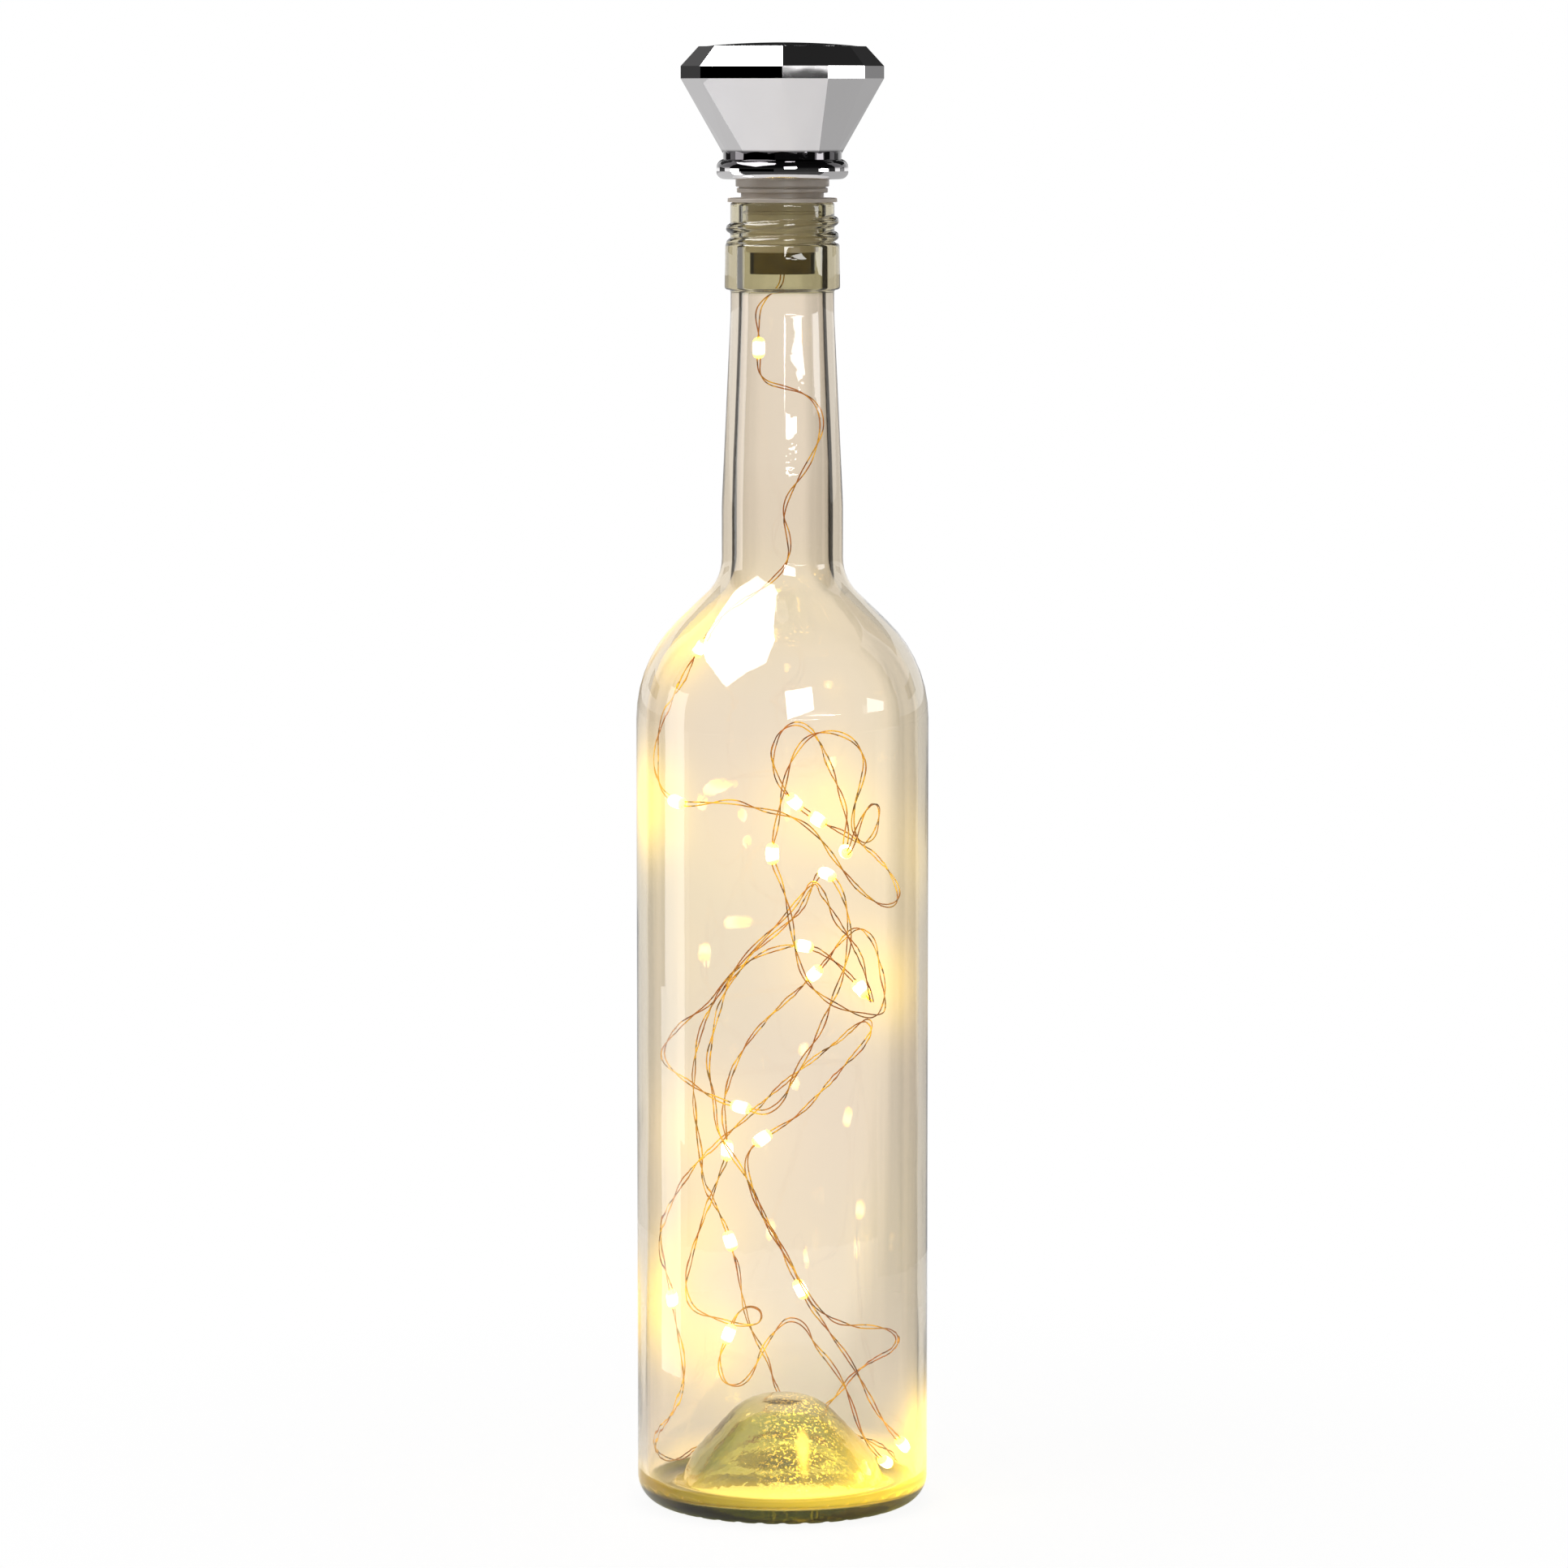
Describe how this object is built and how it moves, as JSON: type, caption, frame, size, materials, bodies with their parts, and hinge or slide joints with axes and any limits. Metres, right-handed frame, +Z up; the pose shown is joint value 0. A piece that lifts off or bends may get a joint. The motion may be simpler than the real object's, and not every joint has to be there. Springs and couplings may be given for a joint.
{
  "type": "cork bottle light",
  "caption": "Clear wine bottle with a faceted chrome stopper light and a fine copper wire of warm lamps coiled loosely inside.",
  "frame": {"origin": "centre of the bearing ring, on the surface that the bottle stands on", "axes": "+Z up along the bottle's axis; the front faces -Y, with the gem's front corner at -Y and the switch at +Y"},
  "size_m": [0.073, 0.073, 0.3663],
  "materials": {
    "clear_glass": "clear with a faint green-yellow tint",
    "sleeve_silicone": "translucent, satin",
    "plated_metal": "mirror polished",
    "tinted_lens": "dark, clear and glossy",
    "black_rubber": "matt",
    "dark_cell": "dark blue silicon under a clear coat",
    "tinned_strip": "tinned",
    "spring_steel": "bright",
    "board_green": "solder mask",
    "black_plastic": "moulded, fine grain",
    "wrap_green": "shrink film",
    "aluminium_can": "bright",
    "lead_insulation": "thin insulation",
    "copper_wire": "enamelled copper pair, twisted",
    "lamp_resin": "clear resin drop",
    "lamp_phosphor": "warm light chip"
  },
  "bodies": {
    "bottle": {"bottle": "clear_glass", "light_string": "copper_wire", "lamp_drops": "lamp_resin", "lamp_chips": "lamp_phosphor"},
    "stopper": {"plug_sleeve": "sleeve_silicone", "head_shell": "plated_metal", "crown_cap": "plated_metal", "battery_tube": "plated_metal", "panel_lens": "tinted_lens", "lens_seal": "black_rubber", "wire_gland": "black_rubber", "solar_cell": "dark_cell", "cell_tabs": "tinned_strip", "upper_contact": "tinned_strip", "lower_contact": "tinned_strip", "contact_spring": "spring_steel", "tube_screws": "spring_steel", "board_screws": "spring_steel", "battery": "spring_steel", "panel_board": "board_green", "circuit_board": "board_green", "tube_end_cap": "black_plastic", "cell_carrier": "black_plastic", "battery_cap": "black_plastic", "driver_chip": "black_plastic", "switch_body": "black_plastic", "battery_wrap": "wrap_green", "inductor": "wrap_green", "capacitor": "aluminium_can", "feed_wires": "lead_insulation", "battery_leads": "lead_insulation", "panel_leads": "lead_insulation", "switch_leads": "lead_insulation", "light_lead": "copper_wire", "first_lamp_drop": "lamp_resin", "first_lamp_chip": "lamp_phosphor"},
    "switch_knob": {"switch_knob": "black_plastic"}
  },
  "joints": [
    {"name": "stopper_lift", "type": "slide", "parent": "bottle", "child": "stopper", "axis": [0, 0, 1], "range_m": [0, 0.022]},
    {"name": "switch_slide", "type": "slide", "parent": "stopper", "child": "switch_knob", "axis": [1, 0, 0], "range_m": [0, 0.002]}
  ]
}
